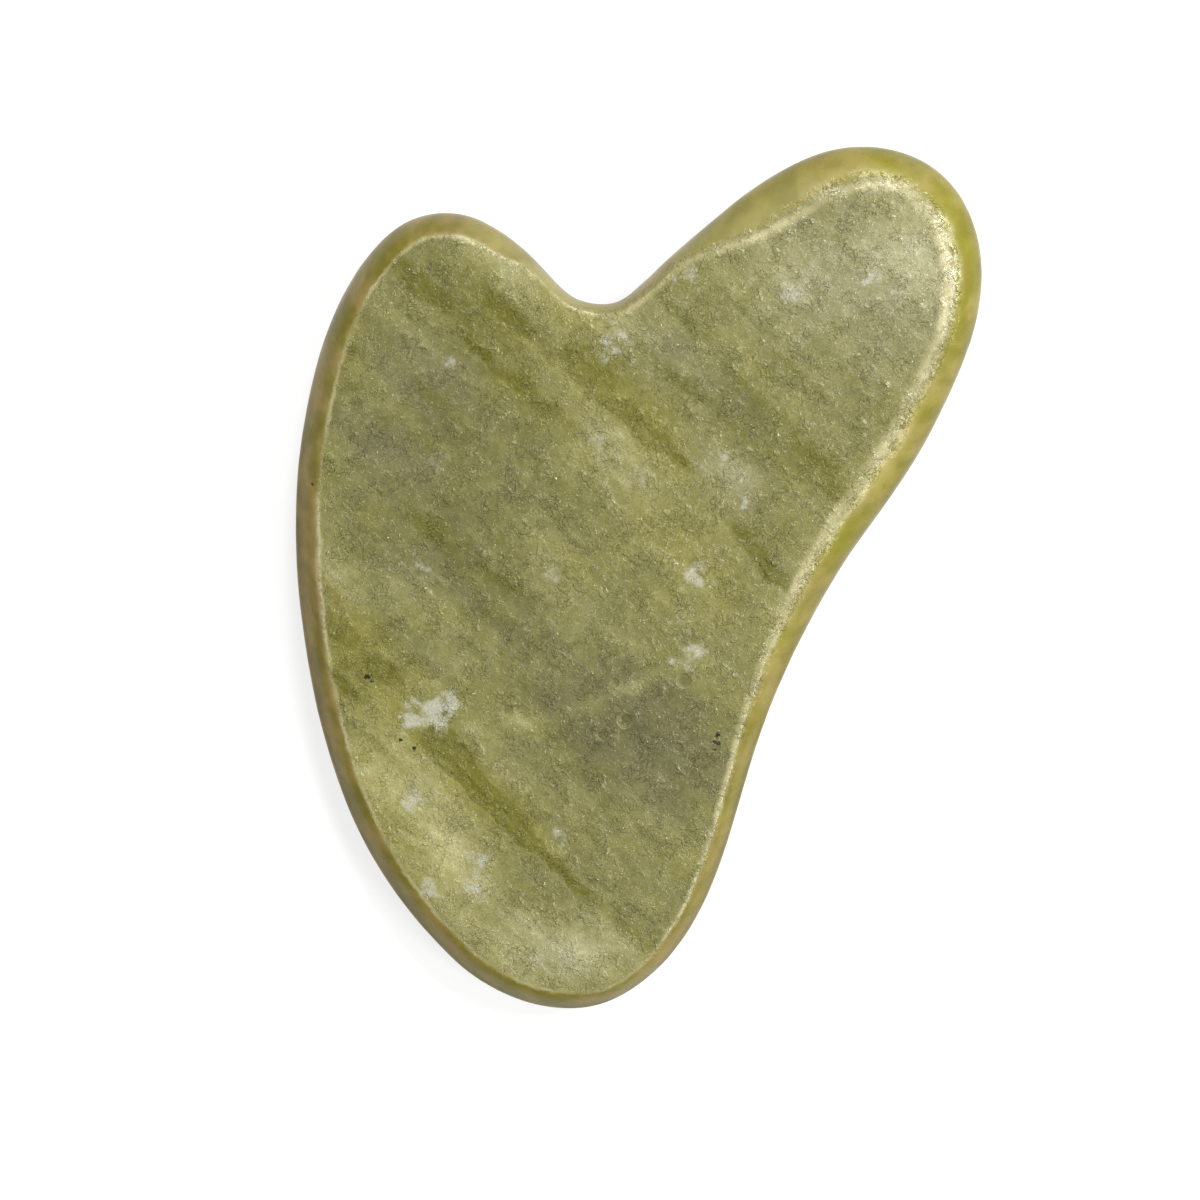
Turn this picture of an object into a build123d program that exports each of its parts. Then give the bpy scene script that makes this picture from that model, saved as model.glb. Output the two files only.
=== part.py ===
"""Gua sha scraper: one flat heart-shaped board, ground from a single piece of jade.

The board lies on its back face. +Z points up out of the front face, +Y runs along the board from
the foot to the large lobe, and the origin is the centre of the bounding box at the back face.
All sizes are in millimetres.
"""

import os
from math import cos, radians, sin
from typing import NamedTuple

from build123d import *

# Driving dimensions
THICKNESS = 6.5  # between the two flat faces
EDGE_TURN = 52  # degrees that the rounded edge turns through, from the rim up to a flat face
EDGE_STEPS = 4  # sections from the rim to a flat face
POINT_TURN = 22  # most degrees that the rim turns between two points of a section
POINT_GAP = 7.0  # longest run between two points of a section


class Joint(NamedTuple):
    """Where a stretch of the rim begins. The stretches follow each other clockwise from above."""

    x: float
    y: float
    edge: float  # width of the rounded edge here, from the rim in to the flat face
    radius: float  # of the stretch as far as the next joint, negative where the rim is hollow


RIM = [
    Joint(8.8, -41.7, 2.0, 40.7),  # under the foot
    Joint(-8.5, -31.1, 2.1, 75.0),  # long side, lower half
    Joint(-20.5, -14.6, 2.4, 55.6),  # long side, upper half
    Joint(-26.7, 4.2, 2.4, 24.4),  # shoulder of the small lobe
    Joint(-26.0, 14.0, 2.4, 8.0),  # small lobe
    Joint(-17.7, 19.9, 2.5, 21.1),  # small lobe runs out into the notch
    Joint(-12.1, 18.7, 1.3, 200.0),  # left flank of the notch
    Joint(-9.2, 17.6, 1.0, -4.7),  # floor of the notch
    Joint(-5.6, 17.8, 1.1, -3.4),  # corner of the notch
    Joint(-3.5, 19.8, 1.2, 190.0),  # right flank of the notch
    Joint(-1.7, 24.3, 1.3, 190.0),  # right flank, where the flat face draws back
    Joint(1.7, 32.1, 4.0, 30.3),  # shoulder of the large lobe
    Joint(4.9, 37.2, 4.0, 13.0),  # large lobe, notch side
    Joint(13.2, 42.3, 3.4, 9.8),  # large lobe, crown
    Joint(21.8, 39.4, 3.4, 16.3),  # large lobe, outer side
    Joint(26.2, 30.4, 2.8, 55.5),  # straight side below the large lobe
    Joint(25.7, 12.0, 3.0, -74.4),  # hollow of the neck side
    Joint(25.6, -16.2, 1.7, 79.5),  # neck side runs out to the heel
    Joint(26.9, -26.0, 1.7, 19.9),  # heel
    Joint(24.5, -36.9, 1.4, 9.9),  # tip of the foot
    Joint(19.3, -41.4, 1.8, 16.2),  # ball of the foot
]


def stretch_points(start: Joint, end: Joint) -> list[tuple[Vector, Vector, float]]:
    """Points along one stretch of the rim, each with its inward direction and its edge width."""
    chord = Vector(end.x - start.x, end.y - start.y)
    right = Vector(chord.Y, -chord.X).normalized()
    middle = Vector((start.x + end.x) / 2, (start.y + end.y) / 2)
    to_centre = (start.radius**2 - (chord.length / 2) ** 2) ** 0.5
    side = 1 if start.radius > 0 else -1
    centre = middle + right * side * to_centre
    spoke = Vector(start.x, start.y) - centre
    turn = -side * spoke.get_angle(Vector(end.x, end.y) - centre)
    length = abs(start.radius) * radians(abs(turn))
    pieces = int(max(abs(turn) / POINT_TURN, length / POINT_GAP)) + 1
    points = []
    for piece in range(pieces):
        share = piece / pieces
        arm = spoke.rotate(Axis.Z, turn * share)
        inward = arm.normalized() * -side
        width = start.edge + (end.edge - start.edge) * share
        points.append((centre + arm, inward, width))
    return points


def section_points(inset: float) -> list[Vector]:
    """The closed outline at one level: inset is 0 at the rim and 1 where the flat face begins."""
    return [
        point + inward * width * inset
        for start, end in zip(RIM, RIM[1:] + RIM[:1])
        for point, inward, width in stretch_points(start, end)
    ]


with BuildPart() as board:
    for step in range(-EDGE_STEPS, EDGE_STEPS + 1):
        angle = radians(EDGE_TURN * step / EDGE_STEPS)
        height = THICKNESS / 2 * (1 + sin(angle) / sin(radians(EDGE_TURN)))
        inset = (1 - cos(angle)) / (1 - cos(radians(EDGE_TURN)))
        with BuildSketch(Plane.XY.offset(height)):
            with BuildLine():
                Spline(*section_points(inset), periodic=True)
            make_face()
    loft()

board.part.label = "jade_board"
os.makedirs("parts", exist_ok=True)
export_step(board.part, "parts/jade_board.step")
print(board.part.bounding_box(), "volume", round(board.part.volume), "faces", len(board.faces()))
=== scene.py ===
"""Gua sha scraper: the look of a heart-shaped jade board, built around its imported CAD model.

The CAD gives the shape. The visible stone is a fine copy of it with a worn, hand-ground ridge,
small dips and slight waves, and a procedural jade material. Features are placed in the part's own
frame: millimetres from the centre of the board, +X and +Y as in the CAD, +Z up.
"""

import math

import bmesh
import bpy
import numpy as np
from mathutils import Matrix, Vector, geometry, noise


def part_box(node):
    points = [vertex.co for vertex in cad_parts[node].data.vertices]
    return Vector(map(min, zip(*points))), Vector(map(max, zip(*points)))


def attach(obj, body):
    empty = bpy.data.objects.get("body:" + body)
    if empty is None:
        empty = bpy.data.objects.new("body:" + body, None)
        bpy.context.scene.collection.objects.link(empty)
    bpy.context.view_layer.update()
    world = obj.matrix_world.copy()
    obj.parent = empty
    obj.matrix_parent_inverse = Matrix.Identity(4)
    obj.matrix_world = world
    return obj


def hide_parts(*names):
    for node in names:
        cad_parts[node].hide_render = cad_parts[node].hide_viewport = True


MM = 0.001
NODE = "jade_board"
SAME = 1e-7  # metres, under which two heights or corners of the CAD mesh are the same

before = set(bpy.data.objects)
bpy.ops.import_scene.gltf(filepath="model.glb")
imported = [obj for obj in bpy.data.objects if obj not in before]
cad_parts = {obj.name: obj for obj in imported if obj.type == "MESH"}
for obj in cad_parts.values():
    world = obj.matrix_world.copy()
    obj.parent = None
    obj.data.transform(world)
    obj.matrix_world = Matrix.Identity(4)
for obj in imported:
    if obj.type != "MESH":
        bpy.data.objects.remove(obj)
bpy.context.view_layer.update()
LOW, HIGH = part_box(NODE)
CENTRE = (LOW + HIGH) / 2
FRONT = (HIGH.z - LOW.z) / MM  # height of the front face over the back one, in mm
HALF = FRONT / 2  # half of the thickness, in mm

# Camera: straight above the board, which lies turned in its view
VIEW_TURN = 26.0  # degrees that the board's long axis leans to the right in the view
VIEW_WIDTH = 109.3  # mm across the view at mid thickness
LENS = 100.0
SENSOR = 36.0
AIM = (6.3, -6.4)  # mm from the board's centre to the point below the camera

# Setting
FLOOR_HALF = 8.0  # metres, so that low views don't reach its end
FLOOR_GLOW = 0.7
ROOM_GLOW = 0.38
LIGHT_DISTANCE = 0.6  # metres from the board

# Mesh
STATIONS = 1200  # round the board
HARMONICS = 70  # kept of the outline, which leaves out the flats of the CAD mesh
EDGE_TURN = 52.0  # degrees that the rounded edge turns through, from the rim up to a face, as in the CAD
EDGE_STEPS = 13  # from the rim to a face
RINGS = (0.08, 0.18, 0.3, 0.45, 0.65, 0.9, 1.2, 1.6)  # mm inside the ridge
FACE_GRID = 0.42  # mm between points in the middle of a face
RIDGE_WOBBLE = 0.1  # mm, how far the ground ridge wanders
FACE_WAVE = 0.035  # mm, height of the waves that hand polishing left on the faces
EDGE_WAVE = 0.04  # mm, unevenness of the ground edge
CREASE = 0.5  # slope of the edge where it meets a face
DIP_DEPTH = 0.06  # mm, of the small round dips
RELIEF = 0.11  # mm, height of the chips and hairs on the faces

# Features of the stone, in mm from the centre of the board
GRAIN_ANGLE = -17.0  # degrees, the way the stone's layers run
LAYER_LEAN = 0.8  # how far the layers move sideways per mm of depth
BROAD_WAY = (0.6, 0.5)  # toward the large lobe, where the ridge is worn broadest
BROAD_SPAN = (-8, 26)  # mm that way, from where the ridge begins to broaden to where it is broadest

# Colours of the body from dark to pale: position, display colour from 0 to 255
SHADES = [
    (0.0, (74, 73, 39)),
    (0.3, (94, 92, 53)),
    (0.55, (113, 110, 67)),
    (1.0, (150, 146, 107)),
]

# Other display colours
VEIN_COLOR = (76, 74, 4)
THREAD_COLOR = (80, 79, 30)
FLAKE_COLOR = (158, 157, 142)
SPECK_COLOR = (24, 21, 10)
# Edge colours: browner toward -X as the stone is, and darker there as painted shade on the side away from
# the lights
DEEP_EDGE_COLORS = [(100, 93, 26), (118, 113, 32)]  # toward -X, toward +X
DULL_EDGE_COLORS = [(117, 103, 56), (130, 120, 62)]
# cloudy edge colour, paler partly as painted light
FLANK_COLOR = (126, 120, 72)
EDGE_VEIN_COLOR = (84, 80, 18)
# pale worn stone along the ridge, partly a painted highlight
WORN_AND_HIGHLIGHT_COLOR = (165, 158, 118)
DIP_RIM_COLOR = (160, 155, 110)
DIP_COLOR = (80, 78, 36)

# What the edge's colour is multiplied by: painted shade along the rim and toward the foot, and darker at
# the heel toward +X
RIM_SHADE_FILTER = (0.8, 0.76, 0.35, 1)
FOOT_SHADE_FILTER = (0.96, 0.89, 0.66, 1)
HEEL_FILTER = (0.8, 0.8, 0.84, 1)

AREA_DEPTH = 12.0  # mm that a broad area reaches into the stone
VEIN_DEPTH = 9.0
FLAKE_DEPTH = 2.5
SPECK_DEPTH = 1.5
DIP_COLOR_DEPTH = 3.0
FLAKE_REACH = 1.2  # how far a torn flake reaches, in its sizes
SPECK_OVAL = (1.2, 0.9)  # a speck's half length and half width, in its radii
SPECK_ANGLE = 20.0  # degrees
DIP_REACH = 1.5  # where a dip has run out, in its radii

# Dark veins: x, y, half length, half width, angle, strength
VEINS = [
    (0.0, -24.8, 3.5, 1.9, -22, 2.0),
    (5.5, -27.0, 8.5, 1.3, -19, 1.9),
    (14.5, -30.0, 5.5, 0.8, -16, 0.9),
    (21.5, -32.2, 3.5, 1.2, -10, 0.4),
    (-15.0, -18.8, 5.5, 1.4, -14, 1.2),
    (-8.5, -20.6, 3.5, 1.2, -16, 1.0),
    (-12.0, -23.4, 5.0, 1.2, -8, 0.7),
    (-20.5, 12.0, 6.0, 1.5, -14, 1.1),
    (-14.0, 9.6, 4.5, 1.0, -27, 0.9),
    (-7.5, 7.6, 7.0, 1.0, -14, 0.7),
    (-12.5, 13.2, 4.5, 1.4, -18, 1.1),
    (-3.8, 11.9, 4.0, 2.0, -14, 1.1),
    (3.0, 9.1, 7.0, 1.3, -14, 1.2),
    (12.0, 16.0, 8.0, 1.1, -14, 0.5),
    (17.5, 13.9, 6.5, 1.3, -18, 0.6),
    (12.5, 12.3, 8.0, 1.0, -16, 0.4),
    (21.5, 11.6, 4.0, 1.3, -20, 0.6),
    (17.8, 3.3, 6.0, 1.1, -20, 1.0),
    (4.0, 14.5, 6.0, 1.1, -16, 0.5),
    (2.0, 19.5, 5.0, 1.0, -18, 0.4),
    (14.0, 19.6, 8.0, 0.8, -15, 0.4),
    (16.5, 24.0, 6.0, 0.8, -20, 0.3),
    (-16.0, 3.6, 7.0, 1.1, -16, 0.4),
    (-3.0, -8.8, 9.0, 1.3, -5, 0.4),
    (-10.0, -7.4, 6.0, 1.6, -8, 0.5),
]

# Partly the stone's clouds, partly painted light: painted sheen over the large lobe and the foot, painted
# shade left of centre
# Broad areas, darker where the strength is negative: x, y, half length, half width, angle, strength
ZONES = [
    (-14.0, 0.0, 15.0, 11.0, -15, -0.7),
    (-7.0, -9.0, 14.0, 5.0, -12, -0.5),
    (14.5, -15.5, 12.0, 7.5, 8, -1.2),
    (4.0, -14.0, 10.0, 5.5, -10, -0.4),
    (15.0, 13.5, 13.0, 4.0, -14, -0.4),
    (-17.0, 11.5, 11.0, 4.5, -8, -0.2),
    (18.0, 35.0, 10.0, 9.0, 0, 1.3),
    (9.0, 27.5, 9.0, 8.0, 0, 0.7),
    (6.0, 4.5, 13.0, 4.0, -22, 0.6),
    (11.5, 9.0, 5.5, 3.0, -25, 0.9),
    (15.0, -2.5, 7.0, 5.0, -19, 0.55),
    (22.0, 2.0, 3.0, 14.0, 2, 0.4),
    (2.0, -32.0, 17.0, 6.5, -30, 1.3),
    (18.0, -36.0, 8.0, 5.0, 12, 1.4),
    (-16.0, -15.0, 8.0, 2.6, -47, 0.6),
    (-12.0, 16.2, 12.0, 2.6, 2, 0.7),
    (-3.0, 17.0, 6.0, 3.2, 10, 0.6),
    (-3.0, -18.5, 4.0, 3.0, -10, 0.5),
    (5.5, -18.8, 8.0, 1.3, 33, 0.75),
    (12.0, -12.5, 6.5, 1.2, 48, 1.2),
]

# Broad areas, greyer where the strength is positive and yellower where it is negative: the same columns
TINTS = [
    (15.0, 30.0, 14.0, 12.0, 0, 1.0),
    (-17.0, 5.0, 7.0, 5.0, -15, 0.7),
    (-17.0, -3.0, 8.0, 4.0, -15, 0.7),
    (-9.0, -11.0, 6.0, 3.0, -10, 0.5),
    (6.0, -12.0, 11.0, 7.0, 0, 0.5),
    (16.0, -17.0, 10.0, 9.0, 0, 0.7),
    (12.0, 9.0, 6.0, 3.5, -20, 0.7),
    (3.0, 17.0, 9.0, 4.0, -10, 0.5),
    (17.0, -36.0, 8.0, 5.0, 0, 0.5),
    (-11.0, -21.0, 11.0, 5.0, -18, -1.0),
    (-2.0, -31.0, 15.0, 6.0, -33, -0.5),
    (4.0, -26.5, 11.0, 3.0, -19, -1.2),
    (1.0, 10.5, 10.0, 3.5, -15, -1.0),
    (-14.0, 12.5, 9.0, 3.0, -15, -0.9),
    (-10.0, 8.0, 9.0, 2.0, -18, -0.6),
    (-8.0, 17.0, 6.0, 3.0, 0, -0.7),
    (15.0, 0.0, 9.0, 6.0, -19, -0.35),
    (18.0, 13.0, 9.0, 4.0, -17, -0.35),
    (-23.0, -4.0, 4.0, 14.0, 10, -0.3),
]

# White flakes: x, y, size, strength
FLAKES = [
    (-2.9, -22.2, 2.3, 1.2),
    (-4.4, -23.4, 1.6, 1.0),
    (-1.9, -21.0, 1.5, 1.0),
    (15.6, -7.3, 2.1, 0.85),
    (14.4, -5.6, 1.1, 0.4),
    (13.8, 7.6, 1.5, 0.8),
    (10.8, 10.0, 1.6, 0.55),
    (15.6, 30.1, 1.3, 0.85),
    (14.6, 31.0, 1.2, 0.7),
    (17.4, 29.9, 1.2, 0.6),
    (13.2, 35.5, 1.3, 0.6),
    (13.8, 33.2, 1.1, 0.5),
    (-3.0, 15.2, 2.4, 0.8),
    (0.6, 23.2, 1.8, 0.65),
    (9.5, 26.2, 1.8, 0.6),
    (-0.8, -30.1, 1.4, 1.0),
    (6.9, -32.5, 1.6, 0.85),
    (7.8, -34.8, 1.4, 0.8),
    (3.6, -37.0, 1.6, 0.95),
    (7.4, -38.2, 1.1, 0.7),
    (16.4, -37.2, 2.4, 0.6),
    (12.6, -27.4, 1.6, 0.6),
    (4.8, 5.1, 1.6, 0.45),
    (13.0, -0.3, 1.7, 0.65),
    (-15.5, 7.1, 2.6, 0.36),
    (-12.0, -2.0, 2.2, 0.35),
    (-9.4, -11.1, 1.8, 0.5),
    (0.7, 6.0, 1.8, 0.45),
    (8.6, 8.8, 1.5, 0.5),
    (1.5, -5.8, 1.8, 0.4),
]

# Parts of the edge that are as cloudy as the faces, and paler partly as painted light: x, y, radius
FLANKS = [
    (2.0, 31.0, 11.0),
    (-12.0, 20.0, 10.0),
    (14.0, 43.0, 3.5),
]

# Dark specks: x, y, radius
SPECKS = [
    (-9.4, -21.6, 0.42),
    (-8.8, -21.9, 0.2),
    (21.3, -13.5, 0.3),
    (21.0, -12.8, 0.22),
    (21.6, -14.2, 0.18),
    (-21.9, -8.7, 0.25),
    (0.4, -13.0, 0.12),
    (-4.0, -25.6, 0.22),
    (-2.6, -25.4, 0.25),
]

# Small round dips: x, y, radius
DIPS = [
    (13.1, -15.2, 0.6),
    (11.8, -17.2, 0.5),
    (10.8, -12.5, 0.35),
    (16.3, -9.6, 0.6),
    (18.5, -15.3, 0.4),
    (3.2, -19.0, 0.45),
]


def make_camera():
    """A long lens straight above the board."""
    data = bpy.data.cameras.new("camera")
    data.lens = LENS
    data.sensor_width = SENSOR
    data.clip_start = 0.01
    camera = bpy.data.objects.new("camera", data)
    distance = VIEW_WIDTH * MM * LENS / SENSOR
    camera.location = CENTRE + Vector((AIM[0] * MM, AIM[1] * MM, distance))
    camera.rotation_euler = (0, 0, math.radians(VIEW_TURN))
    bpy.context.scene.collection.objects.link(camera)
    bpy.context.scene.camera = camera


def in_order(edges):
    """The corners of a closed loop of edges, anticlockwise from above, from the one farthest along +X."""
    neighbours = {}
    for edge in edges:
        for vert in edge.verts:
            neighbours.setdefault(vert, []).append(edge.other_vert(vert))
    first = max(neighbours, key=lambda vert: vert.co.x)
    loop = [first, max(neighbours[first], key=lambda vert: vert.co.y)]
    while True:
        ahead = [vert for vert in neighbours[loop[-1]] if vert is not loop[-2]]
        if ahead[0] is first:
            break
        loop.append(ahead[0])
    return np.array([(vert.co.x, vert.co.y) for vert in loop]) / MM


def cad_loops(source):
    """The board's rim at mid thickness and the ridge round its front face, in mm, from the CAD mesh."""
    work = bmesh.new()
    work.from_mesh(source.data)
    bmesh.ops.remove_doubles(work, verts=work.verts, dist=SAME)
    level = {vert for vert in work.verts if abs(vert.co.z - HIGH.z) < SAME}
    flat = {face for face in work.faces if all(vert in level for vert in face.verts)}
    ridge = in_order([e for e in work.edges if sum(face in flat for face in e.link_faces) == 1])
    everything = work.verts[:] + work.edges[:] + work.faces[:]
    cut = bmesh.ops.bisect_plane(work, geom=everything, plane_co=CENTRE, plane_no=(0, 0, 1))
    rim = in_order([e for e in cut["geom_cut"] if isinstance(e, bmesh.types.BMEdge)])
    work.free()
    return rim, ridge


def evenly(loop, count):
    """count points at equal distances round a closed loop."""
    closed = np.vstack([loop, loop[:1]])
    travelled = np.concatenate([[0], np.cumsum(np.hypot(*np.diff(closed, axis=0).T))])
    wanted = np.linspace(0, travelled[-1], count, endpoint=False)
    return np.stack([np.interp(wanted, travelled, closed[:, axis]) for axis in (0, 1)], axis=1)


def low_pass(values, harmonics):
    """Values round a closed loop without their finer variation."""
    spectrum = np.fft.fft(values, axis=0)
    spectrum[harmonics + 1 : -harmonics] = 0
    return np.fft.ifft(spectrum, axis=0).real


def cross(first, second):
    """The cross product of flat vectors, which is one number each."""
    return first[..., 0] * second[..., 1] - first[..., 1] * second[..., 0]


def distance_ahead(places, directions, loop):
    """How far each place is from a closed loop, looking along its own direction."""
    start = loop[None]
    side = np.roll(loop, -1, axis=0)[None] - start
    gap = start - places[:, None]
    ahead = directions[:, None]
    with np.errstate(divide="ignore", invalid="ignore"):
        distance = cross(gap, side) / cross(ahead, side)
        share = cross(gap, ahead) / cross(ahead, side)
    distance[~((share >= 0) & (share <= 1) & (distance > 0))] = np.inf
    return distance.min(axis=1)


def within(places, loop):
    """Which places lie inside a closed loop."""
    start, end = loop[None], np.roll(loop, -1, axis=0)[None]
    x, y = places[:, :1], places[:, 1:]
    spans = (start[..., 1] > y) != (end[..., 1] > y)
    rise = np.where(spans, end[..., 1] - start[..., 1], 1)
    crossing = start[..., 0] + (y - start[..., 1]) * (end[..., 0] - start[..., 0]) / rise
    return (spans & (x < crossing)).sum(axis=1) % 2 == 1


def waves(places, size, seed):
    """Smooth noise about zero at places in mm, in blobs of about that size."""
    offset = Vector((seed * 17.3, seed * -9.1, seed * 4.7))
    return np.array([noise.noise(Vector(place) / size + offset) for place in places])


def smoothstep(low, high, value):
    """0 below low, 1 above high, and smooth between."""
    share = np.clip((value - low) / (high - low), 0, 1)
    return share * share * (3 - 2 * share)


def fill_middle(loop):
    """Points over the area inside a loop, and triangles that join them and the loop's own points."""
    low, high = loop.min(axis=0), loop.max(axis=0)
    rows = np.arange(low[1], high[1], FACE_GRID * math.sqrt(0.75))
    columns = np.arange(low[0], high[0], FACE_GRID)
    grid = [(x + FACE_GRID / 2 * (row % 2), y) for row, y in enumerate(rows) for x in columns]
    grid = np.array(grid)
    grid = grid[within(grid, loop)]
    nearest = np.array([np.hypot(*(loop - place).T).min() for place in grid])
    grid = grid[nearest > FACE_GRID * 0.6]
    points = [Vector(place) for place in np.vstack([loop, grid])]
    sides = [(index, (index + 1) % len(loop)) for index in range(len(loop))]
    outline = [list(range(len(loop)))]
    keep_inside, tolerance = 1, 1e-6  # only the triangles inside the outline are made
    placed, _, triangles, *_ = geometry.delaunay_2d_cdt(points, sides, outline, keep_inside, tolerance)
    if len(placed) != len(points):
        raise RuntimeError("the middle of the face didn't fill cleanly")
    return grid, triangles


def board_mesh():
    """The board as an even mesh in mm: places, faces, and each place's distance inside the ridge."""
    rim, ridge_loop = cad_loops(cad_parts[NODE])
    rim = low_pass(evenly(rim, STATIONS), HARMONICS)
    along = np.roll(rim, -1, axis=0) - np.roll(rim, 1, axis=0)
    along /= np.hypot(*along.T)[:, None]
    inward = np.stack([-along[:, 1], along[:, 0]], axis=1)
    width = low_pass(distance_ahead(rim, inward, ridge_loop), HARMONICS // 2)
    rim_3d = np.column_stack([rim, np.zeros(STATIONS)])
    width += RIDGE_WOBBLE * (waves(rim_3d, 3.5, seed=6) + 0.5 * waves(rim_3d, 1.3, seed=7))

    # Levels from the back face to the front: share of the edge's width, mm inside the ridge, height
    turn = math.radians(EDGE_TURN)
    middle = CENTRE.z / MM
    levels = []
    for step in range(-EDGE_STEPS, EDGE_STEPS + 1):
        angle = turn * step / EDGE_STEPS
        share = (1 - math.cos(angle)) / (1 - math.cos(turn))
        levels.append((share, 0.0, middle + HALF * math.sin(angle) / math.sin(turn)))
    top = middle + HALF
    levels = [(1.0, ring, middle - HALF) for ring in RINGS[::-1]] + levels
    levels += [(1.0, ring, top) for ring in RINGS]
    loops = []
    ridge = []
    for share, ring, height in levels:
        flat = rim + inward * (width * share + ring)[:, None]
        loops.append(np.column_stack([flat, np.full(STATIONS, height)]))
        ridge.append(ring - width * (1 - share))

    faces = []
    for row in range(len(levels) - 1):
        for station in range(STATIONS):
            ahead = (station + 1) % STATIONS
            below, above = row * STATIONS, (row + 1) * STATIONS
            faces.append((below + station, below + ahead, above + ahead, above + station))

    grid, triangles = fill_middle(loops[-1][:, :2])
    from_ridge = np.array([np.hypot(*(loops[-1][:, :2] - place).T).min() for place in grid]) + RINGS[-1]
    start = len(levels) * STATIONS
    for side, (loop_start, height) in enumerate([(start - STATIONS, top), (0, middle - HALF)]):
        grid_start = start + side * len(grid)
        loops.append(np.column_stack([grid, np.full(len(grid), height)]))
        ridge.append(from_ridge)
        for triangle in triangles:
            ids = [loop_start + i if i < STATIONS else grid_start + i - STATIONS for i in triangle]
            faces.append(ids if side == 0 else ids[::-1])
    return np.vstack(loops), faces, np.concatenate(ridge)


def make_stone():
    """The visible stone: wear, waves and dips are in its mesh, and so is the distance to the ridge."""
    places, faces, ridge = board_mesh()
    mesh = bpy.data.meshes.new("jade_stone")
    mesh.from_pydata(places * MM, [], faces)
    mesh.update()
    normals = np.zeros(len(places) * 3)
    mesh.vertices.foreach_get("normal", normals)
    normals = normals.reshape(-1, 3)

    x, y = places[:, 0], places[:, 1]
    up = np.sign(places[:, 2] - CENTRE.z / MM)
    on_face = smoothstep(-0.4, 0.6, ridge)
    broad = smoothstep(*BROAD_SPAN, BROAD_WAY[0] * x + BROAD_WAY[1] * y)
    softness = 0.2 + 0.55 * broad + 0.1 * smoothstep(6, 18, y)  # mm, how far the ridge is worn round
    softness *= 1 + 0.5 * waves(places, 2.5, seed=1)

    # The worn ridge lies below the sharp one, most along the crease itself
    wear = CREASE * softness * np.log1p(np.exp(-np.abs(ridge) / softness))
    face_waves = FACE_WAVE * (waves(places, 9, seed=2) + 0.5 * waves(places, 3.5, seed=3) - 1)
    edge_waves = EDGE_WAVE * (waves(places, 6, seed=4) + 0.4 * waves(places, 2, seed=5) - 0.5)
    lift = on_face * face_waves + (1 - on_face) * edge_waves
    for dip_x, dip_y, radius in DIPS:
        away = np.hypot(x - dip_x, y - dip_y)
        lift -= (up > 0) * DIP_DEPTH * np.exp(-((away / radius) ** 4))
    places = places + normals * lift[:, None]
    places[:, 2] -= up * wear
    mesh.vertices.foreach_set("co", (places * MM).ravel())
    mesh.shade_smooth()
    mesh.update()

    layer = mesh.attributes.new("ridge", "FLOAT", "POINT")
    layer.data.foreach_set("value", ridge)
    stone = bpy.data.objects.new("jade_stone", mesh)
    bpy.context.scene.collection.objects.link(stone)
    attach(stone, "root")
    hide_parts(NODE)
    return stone


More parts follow.
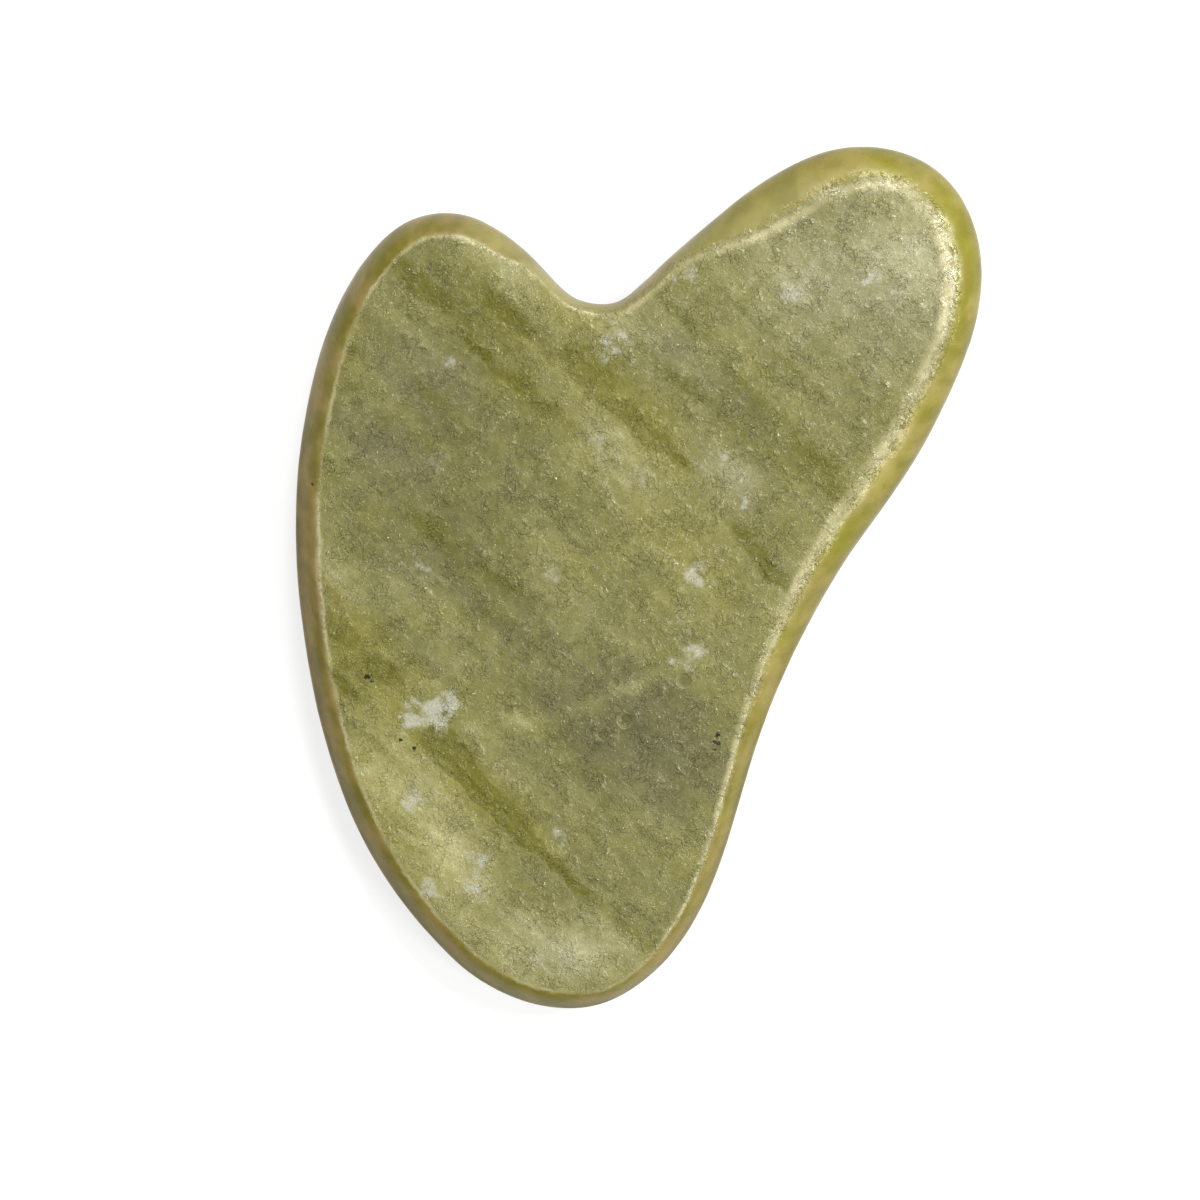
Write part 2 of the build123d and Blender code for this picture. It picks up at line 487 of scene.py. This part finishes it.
class Shading:
    """Adds nodes to one material and joins them."""

    def __init__(self, name):
        self.material = bpy.data.materials.new(name)
        self.material.use_nodes = True
        self.tree = self.material.node_tree
        self.shader = self.tree.nodes["Principled BSDF"]

    def feed(self, socket, value):
        """Links a socket to another one, or sets its value."""
        if isinstance(value, bpy.types.NodeSocket):
            self.tree.links.new(value, socket)
        else:
            socket.default_value = value

    def node(self, kind, inputs=None, **settings):
        """A node with its settings, and each input either linked or set."""
        node = self.tree.nodes.new("ShaderNode" + kind)
        for key, value in settings.items():
            setattr(node, key, value)
        for key, value in (inputs or {}).items():
            self.feed(node.inputs[key], value)
        return node

    def math(self, operation, *values):
        """What a Math node makes of one to three values."""
        return self.node("Math", dict(enumerate(values)), operation=operation).outputs[0]

    def joined(self, operation, values):
        """Several values joined one after another, as in a sum."""
        result = values[0]
        for value in values[1:]:
            result = self.math(operation, result, value)
        return result

    def total(self, *values):
        """The sum of several values."""
        return self.joined("ADD", values)

    def product(self, *values):
        """Several values multiplied together."""
        return self.joined("MULTIPLY", values)

    def largest(self, values):
        """The largest of several values."""
        return self.joined("MAXIMUM", values)

    def vector(self, operation, first, second):
        """What a Vector Math node makes of two vectors."""
        return self.node("VectorMath", {0: first, 1: second}, operation=operation).outputs[0]

    def scaled(self, vector, factor):
        """A vector multiplied by a number."""
        return self.node("VectorMath", {0: vector, "Scale": factor}, operation="SCALE").outputs[0]

    def noise(self, where, size, detail=2.0, roughness=0.5, distortion=0.0, color=False):
        """Noise from 0 to 1 in blobs of about that size in mm, as a number or as a colour."""
        inputs = {
            "Vector": where,
            "Scale": 1 / size,
            "Detail": detail,
            "Roughness": roughness,
            "Distortion": distortion,
        }
        return self.node("TexNoise", inputs).outputs[1 if color else 0]

    def wandering(self, where, size, detail, roughness, reach):
        """A vector to add to places, so that what lies there wanders by up to about half of reach."""
        swing = self.noise(where, size, detail, roughness, color=True)
        return self.vector("MULTIPLY", self.vector("SUBTRACT", swing, (0.5, 0.5, 0.5)), reach)

    def step(self, value, low, high, bottom=0.0, top=1.0):
        """bottom below low, top above high, and smooth between."""
        inputs = {"Value": value, "From Min": low, "From Max": high, "To Min": bottom, "To Max": top}
        return self.node("MapRange", inputs, interpolation_type="SMOOTHSTEP").outputs[0]

    def clouds(self, where, size, detail, height):
        """Noise about zero, from minus height to plus height."""
        return self.step(self.noise(where, size, detail, roughness=0.6), 0.25, 0.75, -height, height)

    def mix(self, share, first, second, blend="MIX"):
        """The first colour where share is 0 and the second where it is 1."""
        inputs = {0: share, 6: first, 7: second}  # a Mix node takes colours on its sockets 6 and 7
        return self.node("Mix", inputs, data_type="RGBA", blend_type=blend).outputs[2]

    def stretched(self, where, scale, angle=0.0, centre=(0, 0, 0)):
        """Places seen from a centre in a turned frame, whose axes are scale mm long."""
        inputs = {
            "Vector": where,
            "Location": centre,
            "Rotation": (0, 0, math.radians(angle)),
            "Scale": scale,
        }
        return self.node("Mapping", inputs, vector_type="TEXTURE").outputs[0]

    def blob(self, where, x, y, radii, angle=0.0):
        """1 at the centre of an ellipsoid in the front face, and 0 at its surface."""
        seen = self.stretched(where, radii, angle, (x, y, FRONT))
        return self.node("TexGradient", {"Vector": seen}, gradient_type="SPHERICAL").outputs[1]

    def patches(self, where, features, depth):
        """A blob for each feature, as strong as it says and reaching that deep."""
        return [
            self.product(self.blob(where, x, y, (long, wide, depth), angle), strength)
            for x, y, long, wide, angle, strength in features
        ]


def srgb(red, green, blue):
    """A colour from its 0 to 255 display values."""
    channels = [c / 255 for c in (red, green, blue)]
    linear = [c / 12.92 if c <= 0.04045 else ((c + 0.055) / 1.055) ** 2.4 for c in channels]
    return (*linear, 1.0)


class JadeLook:
    """Cloudy olive jade: satin on the faces, polished round the edge."""

    def __init__(self):
        self.jade = Shading("jade")
        self.find_places()
        self.find_regions()
        self.find_marks()

    def find_places(self):
        """The places in mm that the patterns are looked up at."""
        jade = self.jade
        self.metric = jade.scaled(jade.node("TexCoord").outputs["Object"], 1 / MM)
        self.xyz = jade.node("SeparateXYZ", {0: self.metric}).outputs

        # For clouds: the layers lean through the thickness and wander a little
        depth = jade.math("SUBTRACT", self.xyz[2], FRONT)
        lean = math.radians(GRAIN_ANGLE + 90)
        sideways = (LAYER_LEAN * math.cos(lean), LAYER_LEAN * math.sin(lean), 0)
        leaned = jade.vector("ADD", self.metric, jade.scaled(sideways, depth))
        wander = jade.wandering(self.metric, size=3.0, detail=3.0, roughness=0.5, reach=(1.4, 1.4, 1.4))
        self.inside = jade.vector("ADD", leaned, wander)

        # For veins, specks and streaks, which have ragged edges
        ragged = jade.wandering(self.metric, size=0.9, detail=3.0, roughness=0.6, reach=(1.0, 1.0, 1.0))
        self.ragged = jade.vector("ADD", self.inside, ragged)
        self.along = jade.stretched(self.ragged, (5, 1, 2), GRAIN_ANGLE)
        self.threaded = jade.stretched(self.ragged, (9, 1, 2), GRAIN_ANGLE)

        # For flakes, which are torn, and for a second pattern that differs from the first
        torn = jade.wandering(self.metric, size=1.4, detail=4.0, roughness=0.6, reach=(4.0, 4.0, 2.0))
        self.torn = jade.vector("ADD", self.metric, torn)
        self.elsewhere = jade.vector("ADD", self.metric, (20.0, 20.0, 20.0))

    def find_regions(self):
        """How much each point belongs to the faces, and to the side that was ground widest."""
        jade = self.jade
        self.mottle = jade.noise(self.metric, size=0.9, detail=3.0, roughness=0.6)
        aside = jade.node("VectorMath", {0: self.metric, 1: (*BROAD_WAY, 0)}, operation="DOT_PRODUCT")
        self.broad = jade.step(aside.outputs["Value"], *BROAD_SPAN)
        ridge = jade.node("Attribute", attribute_name="ridge").outputs["Fac"]
        self.frayed = jade.total(ridge, jade.step(self.mottle, 0.2, 0.8, -0.12, 0.12))
        spread = jade.total(self.frayed, jade.product(self.broad, 0.35))
        self.face = jade.step(spread, -0.3, 0.2)
        self.gritty = jade.step(jade.total(spread, jade.product(self.broad, 0.5)), -0.4, 0.2)
        height = jade.math("ABSOLUTE", jade.math("SUBTRACT", self.xyz[2], HALF))
        self.rim = jade.step(height, 0.3 * HALF, 0.85 * HALF, 1.0, 0.0)

    def find_marks(self):
        """The marks that show both in the colour and in the relief or the edge."""
        jade = self.jade
        self.threads = jade.step(jade.noise(self.threaded, size=0.7, detail=4.0, roughness=0.6), 0.42, 0.62)
        veins = jade.largest(jade.patches(self.ragged, VEINS, VEIN_DEPTH))
        threaded = jade.math("MULTIPLY_ADD", self.threads, 0.35, 0.65)
        self.vein = jade.product(jade.step(veins, 0.05, 0.5), threaded)
        # Hairs in the relief; in the colour the pale ones carry painted glints and the dark ones painted
        # shadow
        self.glinting_hairs = self.hairs(size=0.5, offset=0.0)
        self.shadowed_hairs = self.hairs(size=0.6, offset=50.0)
        dips = []
        for x, y, radius in DIPS:
            reach = radius * DIP_REACH
            dips.append(jade.blob(self.metric, x, y, (reach, reach, DIP_COLOR_DEPTH)))
        self.dip = jade.largest(dips)

    def hairs(self, size, offset):
        """Short crooked hairs, 1 along their middle, in blobs of noise of about that size in mm."""
        jade = self.jade
        moved = jade.vector("ADD", self.metric, (offset, offset, offset))
        off_line = jade.math("SUBTRACT", jade.noise(moved, size, roughness=0.6, distortion=0.6), 0.5)
        line = jade.step(jade.math("ABSOLUTE", off_line), 0.0, 0.06, 1.0, 0.0)
        broken = jade.step(jade.noise(moved, size * 1.4), 0.52, 0.62)
        return jade.product(line, broken)

    def body_color(self):
        """Clouds of light and dark, broad and streaky, some greyer and some yellower; the broad areas also
        hold painted sheen and painted shade.
        """
        jade = self.jade
        tone = jade.total(
            # the broad areas, with painted sheen over the large lobe and the foot and painted shade left of
            # centre
            *jade.patches(self.inside, ZONES, AREA_DEPTH),
            jade.clouds(self.inside, size=7.0, detail=4.0, height=0.2),
            jade.clouds(self.along, size=2.2, detail=5.0, height=0.4),
            jade.clouds(self.inside, size=1.6, detail=4.0, height=0.18),
            jade.clouds(self.metric, size=0.6, detail=3.0, height=0.14),
        )
        ramp = jade.node("ValToRGB", {0: jade.math("MULTIPLY_ADD", tone, 0.33, 0.45)})
        while len(ramp.color_ramp.elements) < len(SHADES):
            ramp.color_ramp.elements.new(0.5)
        for element, (position, shade) in zip(ramp.color_ramp.elements, SHADES):
            element.position = position
            element.color = srgb(*shade)
        greys = jade.step(jade.noise(self.inside, size=4.0, distortion=0.4), 0.35, 0.65, -0.25, -0.01)
        olives = jade.step(jade.noise(self.along, size=3.0), 0.42, 0.66, 0.0, 0.22)
        tint = jade.total(*jade.patches(self.inside, TINTS, AREA_DEPTH), greys)
        tint = jade.math("SUBTRACT", tint, olives)
        saturation = jade.step(tint, -1.6, 1.6, 1.24, 0.72)
        inputs = {"Saturation": saturation, "Color": ramp.outputs[0]}
        return jade.node("HueSaturation", inputs).outputs[0]

    def face_color(self):
        """The body with its veins, threads and white flakes, under a fine grain with hairs that carry
        painted glints and painted shadow.
        """
        jade = self.jade
        color = jade.mix(jade.product(self.vein, 0.8), self.body_color(), srgb(*VEIN_COLOR))
        bundles = jade.step(jade.noise(self.inside, size=5.0), 0.42, 0.6)
        color = jade.mix(jade.product(self.threads, bundles, 0.2), color, srgb(*THREAD_COLOR))
        flakes = []
        for x, y, size, strength in FLAKES:
            reach = size * FLAKE_REACH
            flake = jade.blob(self.torn, x, y, (reach, reach, FLAKE_DEPTH))
            flakes.append(jade.product(flake, strength))
        crumbs = jade.clouds(self.metric, size=1.5, detail=5.0, height=0.4)
        snow = jade.step(jade.total(jade.largest(flakes), crumbs), 0.3, 0.95, 0.0, 0.75)
        color = jade.mix(snow, color, srgb(*FLAKE_COLOR))
        # Fine grain and mottle of the stone, with painted glints on the pale hairs and painted shadow on
        # the dark hairs
        shade = jade.total(
            jade.step(jade.noise(self.metric, size=0.14, distortion=0.5), 0.3, 0.7, -0.17, 0.165),
            jade.step(self.mottle, 0.3, 0.7, -0.05, 0.05),
            jade.product(self.glinting_hairs, 0.3),
            jade.product(self.shadowed_hairs, -0.05),
        )
        fine = jade.vector("ADD", jade.scaled((1.0, 1.0, 1.6), shade), (1.0, 1.0, 1.0))
        return jade.mix(1.0, color, fine, "MULTIPLY")

    def edge_color(self):
        """The polished edge shows the stone wet: yellower and browner toward -X; painted shade darkens it
        toward -X, along the rim and toward the foot.
        """
        jade = self.jade
        # Browner toward -X as the stone is, and darker there as painted shade away from the lights
        sideways = jade.step(self.xyz[0], -24, 22)
        deep = jade.mix(sideways, *[srgb(*color) for color in DEEP_EDGE_COLORS])
        dull = jade.mix(sideways, *[srgb(*color) for color in DULL_EDGE_COLORS])
        blotches = jade.step(jade.noise(self.inside, size=5.0, detail=4.0, roughness=0.55), 0.4, 0.6)
        color = jade.mix(blotches, deep, dull)
        # Cloudy like the faces, and paler partly as painted light on slopes away from the lights
        flanks = [jade.blob(self.metric, x, y, (r, r, r)) for x, y, r in FLANKS]
        flank = jade.step(jade.largest(flanks), 0.0, 0.6, 0.0, 0.75)
        color = jade.mix(flank, color, srgb(*FLANK_COLOR))
        color = jade.mix(jade.product(self.vein, 0.5), color, srgb(*EDGE_VEIN_COLOR))
        cloudy = jade.noise(self.inside, size=2.5, detail=4.0, roughness=0.6)
        color = jade.mix(1.0, color, jade.step(cloudy, 0.3, 0.7, 0.86, 1.12), "MULTIPLY")
        # Painted shade along the rim
        color = jade.mix(self.rim, color, RIM_SHADE_FILTER, "MULTIPLY")
        # Painted shade toward the foot, which faces away from the lights, and darker at its heel toward +X
        foot_shade = jade.step(self.xyz[1], -34, 12, 1.0, 0.0)
        color = jade.mix(foot_shade, color, FOOT_SHADE_FILTER, "MULTIPLY")
        heel = jade.product(foot_shade, sideways)
        return jade.mix(heel, color, HEEL_FILTER, "MULTIPLY")

    def color(self):
        """Faces and edge, with the worn line between them, which is partly a painted highlight, specks and
        the dips' pale rims.
        """
        jade = self.jade
        color = jade.mix(self.face, self.edge_color(), self.face_color())
        # Pale worn stone along the ridge, partly a painted highlight: broader and stronger toward the large
        # lobe, where the lights fall
        off_line = jade.math("SUBTRACT", self.frayed, jade.product(self.broad, 0.3))
        reach = jade.math("MULTIPLY_ADD", self.broad, 0.6, 0.3)
        worn_and_highlight = jade.product(
            jade.step(jade.math("ABSOLUTE", off_line), 0.0, reach, 1.0, 0.0),
            jade.step(jade.noise(self.metric, size=4.0), 0.35, 0.65, 0.35, 1.0),
            jade.step(self.broad, 0.0, 1.0, 0.5, 0.8),
        )
        color = jade.mix(worn_and_highlight, color, srgb(*WORN_AND_HIGHLIGHT_COLOR))
        specks = []
        for x, y, radius in SPECKS:
            radii = (radius * SPECK_OVAL[0], radius * SPECK_OVAL[1], SPECK_DEPTH)
            specks.append(jade.blob(self.ragged, x, y, radii, SPECK_ANGLE))
        speck = jade.step(jade.largest(specks), 0.1, 0.3, 0.0, 0.95)
        color = jade.mix(speck, color, srgb(*SPECK_COLOR))
        outer, inner = jade.step(self.dip, 0.05, 0.3), jade.step(self.dip, 0.3, 0.55, 1.0, 0.0)
        brim = jade.product(outer, inner, 0.22)
        color = jade.mix(brim, color, srgb(*DIP_RIM_COLOR))
        return jade.mix(jade.step(self.dip, 0.35, 0.7, 0.0, 0.4), color, srgb(*DIP_COLOR))

    def roughness(self):
        """Satin where the stone is gritty, smoother on the edge."""
        jade = self.jade
        satin = jade.step(self.mottle, 0.3, 0.7, 0.22, 0.34)
        polish = jade.step(jade.noise(self.metric, size=2.0, detail=3.0), 0.3, 0.7, 0.26, 0.36)
        inputs = {0: self.gritty, 2: polish, 3: satin}  # a Mix node takes numbers on its sockets 2 and 3
        return jade.node("Mix", inputs).outputs[0]

    def specular(self):
        """Less gloss on the rim toward the foot."""
        jade = self.jade
        dulled = jade.product(self.rim, jade.step(self.xyz[1], -12, 14, 1.0, 0.0))
        return jade.step(dulled, 0.0, 1.0, 0.5, 0.05)

    def normal(self):
        """Hairline chips, flecks, grit and dips, almost polished away on the edge."""
        jade = self.jade
        chips = jade.noise(self.metric, size=0.9, roughness=0.55, distortion=1.0)
        chips = jade.step(chips, 0.5, 0.56)
        flecks = jade.noise(self.elsewhere, size=0.4, detail=1.5, distortion=1.0)
        flecks = jade.step(flecks, 0.54, 0.62)
        worked = jade.noise(self.elsewhere, size=2.2, detail=3.0)
        worked = jade.step(worked, 0.42, 0.64, 0.08, 1.25)
        grit = jade.noise(self.metric, size=0.22, detail=1.5, distortion=1.0)
        chipped = jade.total(jade.product(chips, 0.7), jade.product(flecks, 0.6))
        relief = jade.total(
            jade.product(chipped, worked),
            jade.product(grit, 0.12),
            jade.product(self.glinting_hairs, 0.35),
            jade.step(self.dip, 0.15, 0.5, 0.0, -1.5),
        )
        strength = jade.math("MULTIPLY_ADD", self.gritty, 0.96, 0.04)
        inputs = {"Height": relief, "Strength": strength, "Distance": RELIEF * MM}
        return jade.node("Bump", inputs).outputs[0]

    def material(self):
        """The finished material, with a little light scattering under its surface."""
        inputs = self.jade.shader.inputs
        self.jade.feed(inputs["Base Color"], self.color())
        self.jade.feed(inputs["Roughness"], self.roughness())
        self.jade.feed(inputs["Specular IOR Level"], self.specular())
        self.jade.feed(inputs["Normal"], self.normal())
        inputs["IOR"].default_value = 1.5
        inputs["Specular Tint"].default_value = (1.0, 0.95, 0.78, 1)
        inputs["Subsurface Weight"].default_value = 0.12
        inputs["Subsurface Radius"].default_value = (1.0, 0.9, 0.35)
        inputs["Subsurface Scale"].default_value = 1.2 * MM
        return self.jade.material


def make_floor():
    """A plain pale table that glows a little, so that the stone's shadow stays faint."""
    corners = [(-1, -1), (1, -1), (1, 1), (-1, 1)]
    mesh = bpy.data.meshes.new("floor")
    mesh.from_pydata([(x * FLOOR_HALF, y * FLOOR_HALF, LOW.z) for x, y in corners], [], [(0, 1, 2, 3)])
    floor = bpy.data.objects.new("floor", mesh)
    bpy.context.scene.collection.objects.link(floor)
    table = Shading("floor")
    table.shader.inputs["Base Color"].default_value = (0.3, 0.3, 0.3, 1)
    table.shader.inputs["Roughness"].default_value = 0.9
    table.shader.inputs["Emission Color"].default_value = (1, 1, 1, 1)
    table.shader.inputs["Emission Strength"].default_value = FLOOR_GLOW
    mesh.materials.append(table.material)


def soft_light(name, bearing, tilt, size, power):
    """A soft box of that size in metres and power in watts, aimed at the board.

    Its bearing is counted from the right of the view and its tilt from straight up, in degrees.
    """
    data = bpy.data.lights.new(name, "AREA")
    data.shape = "RECTANGLE"
    data.size, data.size_y = size
    data.energy = power
    light = bpy.data.objects.new(name, data)
    turn = math.radians(bearing + VIEW_TURN)
    lean = math.radians(tilt)
    arm = Vector((math.sin(lean) * math.cos(turn), math.sin(lean) * math.sin(turn), math.cos(lean)))
    light.location = CENTRE + arm * LIGHT_DISTANCE
    light.rotation_euler = arm.to_track_quat("Z", "Y").to_euler()
    bpy.context.scene.collection.objects.link(light)


def make_light():
    """A pale room and soft boxes on both sides."""
    world = bpy.data.worlds.new("room")
    bpy.context.scene.world = world
    world.use_nodes = True
    world.node_tree.nodes["Background"].inputs["Color"].default_value = (1, 1, 1, 1)
    world.node_tree.nodes["Background"].inputs["Strength"].default_value = ROOM_GLOW
    soft_light("right_low", bearing=-30, tilt=42, size=(0.16, 0.16), power=1.6)
    soft_light("right", bearing=20, tilt=42, size=(0.16, 0.16), power=3.0)
    soft_light("top", bearing=75, tilt=42, size=(0.16, 0.16), power=2.2)
    soft_light("left", bearing=185, tilt=46, size=(0.08, 0.3), power=1.0)


make_camera()
stone = make_stone()
stone.data.materials.append(JadeLook().material())
make_floor()
make_light()
bpy.context.scene.view_settings.view_transform = "Standard"
